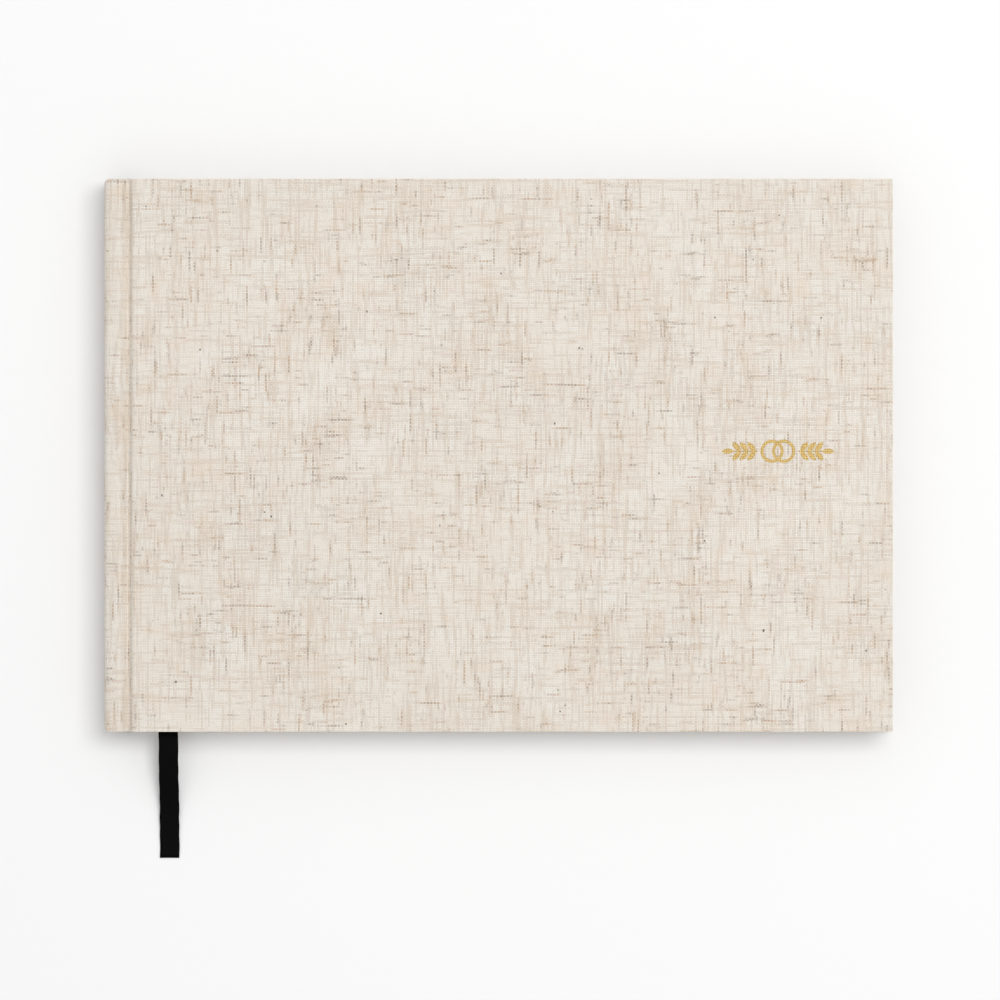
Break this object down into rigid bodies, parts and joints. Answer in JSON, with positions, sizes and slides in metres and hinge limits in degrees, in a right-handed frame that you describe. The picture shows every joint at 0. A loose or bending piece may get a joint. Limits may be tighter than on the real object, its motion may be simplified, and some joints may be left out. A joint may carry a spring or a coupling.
{
  "type": "wedding guest book",
  "caption": "Landscape hardcover wedding guest book in cream slub linen, with a gold foil ornament, sewn pages and a black satin ribbon marker.",
  "frame": {"origin": "middle of the back cover's outer face, with the ribbon's free tail left out", "axes": "+X from spine to fore-edge, +Y from tail to head, +Z from back cover to front cover"},
  "size_m": [0.254, 0.2196, 0.018],
  "materials": {
    "linen": "matte",
    "greyboard": "matte",
    "endpaper": "matte",
    "page_paper": "matte",
    "gauze": "matte",
    "kraft": "matte",
    "cotton_tape": "matte",
    "linen_thread": "satin",
    "endband": "satin",
    "satin": "satin",
    "gold_foil": "satin"
  },
  "bodies": {
    "text_block": {"signature_3": "page_paper", "signature_4": "page_paper", "signature_5": "page_paper", "signature_6": "page_paper", "signature_7": "page_paper", "signature_8": "page_paper", "back_flyleaf": "endpaper", "spine_board": "greyboard", "spine_cloth": "linen", "front_joint_cloth": "linen", "back_joint_cloth": "linen", "sewing_tapes": "cotton_tape", "sewing_thread": "linen_thread", "spine_gauze": "gauze", "spine_liner": "kraft", "head_band": "endband", "tail_band": "endband", "ribbon_inside": "satin"},
    "front_cover": {"front_board": "greyboard", "front_cloth": "linen", "front_pastedown": "endpaper", "front_gauze_flange": "gauze", "foil_ornament": "gold_foil"},
    "back_cover": {"back_board": "greyboard", "back_cloth": "linen", "back_pastedown": "endpaper", "back_gauze_flange": "gauze"},
    "front_flyleaf": {"front_flyleaf": "endpaper"},
    "ribbon": {"ribbon_tail": "satin"},
    "leaf_01": {"leaf_01": "page_paper"},
    "leaf_02": {"leaf_02": "page_paper"},
    "leaf_03": {"leaf_03": "page_paper"},
    "leaf_04": {"leaf_04": "page_paper"},
    "leaf_05": {"leaf_05": "page_paper"},
    "leaf_06": {"leaf_06": "page_paper"},
    "leaf_07": {"leaf_07": "page_paper"},
    "leaf_08": {"leaf_08": "page_paper"},
    "leaf_09": {"leaf_09": "page_paper"},
    "leaf_10": {"leaf_10": "page_paper"},
    "leaf_11": {"leaf_11": "page_paper"},
    "leaf_12": {"leaf_12": "page_paper"},
    "leaf_13": {"leaf_13": "page_paper"},
    "leaf_14": {"leaf_14": "page_paper"},
    "leaf_15": {"leaf_15": "page_paper"},
    "leaf_16": {"leaf_16": "page_paper"}
  },
  "joints": [
    {"name": "front_hinge", "type": "hinge", "parent": "text_block", "child": "front_cover", "pos_m": [-0.124, 0, 0.0145], "axis": [0, -1, 0], "range_deg": [0, 179.9], "deforming": ["front_joint_cloth"]},
    {"name": "back_hinge", "type": "hinge", "parent": "text_block", "child": "back_cover", "pos_m": [-0.124, 0, 0.0035], "axis": [0, 1, 0], "range_deg": [0, 179.9], "deforming": ["back_joint_cloth"]},
    {"name": "ribbon_lift", "type": "hinge", "parent": "text_block", "child": "ribbon", "pos_m": [-0.1067, -0.0896, 0.0091], "axis": [-1, 0, 0], "range_deg": [0, 75]},
    {"name": "front_flyleaf_turn", "type": "hinge", "parent": "text_block", "child": "front_flyleaf", "pos_m": [-0.124, 0, 0.0145], "axis": [0, -1, 0], "range_deg": [0, 179.36]},
    {"name": "leaf_01_turn", "type": "hinge", "parent": "text_block", "child": "leaf_01", "pos_m": [-0.124, 0, 0.0145], "axis": [0, -1, 0], "range_deg": [0, 178.91]},
    {"name": "leaf_02_turn", "type": "hinge", "parent": "text_block", "child": "leaf_02", "pos_m": [-0.124, 0, 0.0145], "axis": [0, -1, 0], "range_deg": [0, 178.68]},
    {"name": "leaf_03_turn", "type": "hinge", "parent": "text_block", "child": "leaf_03", "pos_m": [-0.124, 0, 0.0145], "axis": [0, -1, 0], "range_deg": [0, 178.44]},
    {"name": "leaf_04_turn", "type": "hinge", "parent": "text_block", "child": "leaf_04", "pos_m": [-0.124, 0, 0.0145], "axis": [0, -1, 0], "range_deg": [0, 178.21]},
    {"name": "leaf_05_turn", "type": "hinge", "parent": "text_block", "child": "leaf_05", "pos_m": [-0.124, 0, 0.0145], "axis": [0, -1, 0], "range_deg": [0, 177.98]},
    {"name": "leaf_06_turn", "type": "hinge", "parent": "text_block", "child": "leaf_06", "pos_m": [-0.124, 0, 0.0145], "axis": [0, -1, 0], "range_deg": [0, 177.74]},
    {"name": "leaf_07_turn", "type": "hinge", "parent": "text_block", "child": "leaf_07", "pos_m": [-0.124, 0, 0.0145], "axis": [0, -1, 0], "range_deg": [0, 177.51]},
    {"name": "leaf_08_turn", "type": "hinge", "parent": "text_block", "child": "leaf_08", "pos_m": [-0.124, 0, 0.0145], "axis": [0, -1, 0], "range_deg": [0, 177.27]},
    {"name": "leaf_09_turn", "type": "hinge", "parent": "text_block", "child": "leaf_09", "pos_m": [-0.124, 0, 0.0145], "axis": [0, -1, 0], "range_deg": [0, 1.87]},
    {"name": "leaf_10_turn", "type": "hinge", "parent": "text_block", "child": "leaf_10", "pos_m": [-0.124, 0, 0.0145], "axis": [0, -1, 0], "range_deg": [0, 1.64]},
    {"name": "leaf_11_turn", "type": "hinge", "parent": "text_block", "child": "leaf_11", "pos_m": [-0.124, 0, 0.0145], "axis": [0, -1, 0], "range_deg": [0, 1.4]},
    {"name": "leaf_12_turn", "type": "hinge", "parent": "text_block", "child": "leaf_12", "pos_m": [-0.124, 0, 0.0145], "axis": [0, -1, 0], "range_deg": [0, 1.17]},
    {"name": "leaf_13_turn", "type": "hinge", "parent": "text_block", "child": "leaf_13", "pos_m": [-0.124, 0, 0.0145], "axis": [0, -1, 0], "range_deg": [0, 0.936]},
    {"name": "leaf_14_turn", "type": "hinge", "parent": "text_block", "child": "leaf_14", "pos_m": [-0.124, 0, 0.0145], "axis": [0, -1, 0], "range_deg": [0, 0.702]},
    {"name": "leaf_15_turn", "type": "hinge", "parent": "text_block", "child": "leaf_15", "pos_m": [-0.124, 0, 0.0145], "axis": [0, -1, 0], "range_deg": [0, 0.468]},
    {"name": "leaf_16_turn", "type": "hinge", "parent": "text_block", "child": "leaf_16", "pos_m": [-0.124, 0, 0.0145], "axis": [0, -1, 0], "range_deg": [0, 0.234]}
  ],
  "couplings": [
    {"joint": "front_flyleaf_turn", "follows": "front_hinge", "ratio": 0.997},
    {"joint": "leaf_01_turn", "follows": "front_hinge", "ratio": 0.9945},
    {"joint": "leaf_02_turn", "follows": "front_hinge", "ratio": 0.9932},
    {"joint": "leaf_03_turn", "follows": "front_hinge", "ratio": 0.9919},
    {"joint": "leaf_04_turn", "follows": "front_hinge", "ratio": 0.9906},
    {"joint": "leaf_05_turn", "follows": "front_hinge", "ratio": 0.9893},
    {"joint": "leaf_06_turn", "follows": "front_hinge", "ratio": 0.988},
    {"joint": "leaf_07_turn", "follows": "front_hinge", "ratio": 0.9867},
    {"joint": "leaf_08_turn", "follows": "front_hinge", "ratio": 0.9854},
    {"joint": "leaf_09_turn", "follows": "front_hinge", "ratio": 0.0104},
    {"joint": "leaf_10_turn", "follows": "front_hinge", "ratio": 0.0091},
    {"joint": "leaf_11_turn", "follows": "front_hinge", "ratio": 0.0078},
    {"joint": "leaf_12_turn", "follows": "front_hinge", "ratio": 0.0065},
    {"joint": "leaf_13_turn", "follows": "front_hinge", "ratio": 0.0052},
    {"joint": "leaf_14_turn", "follows": "front_hinge", "ratio": 0.0039},
    {"joint": "leaf_15_turn", "follows": "front_hinge", "ratio": 0.0026},
    {"joint": "leaf_16_turn", "follows": "front_hinge", "ratio": 0.0013}
  ]
}
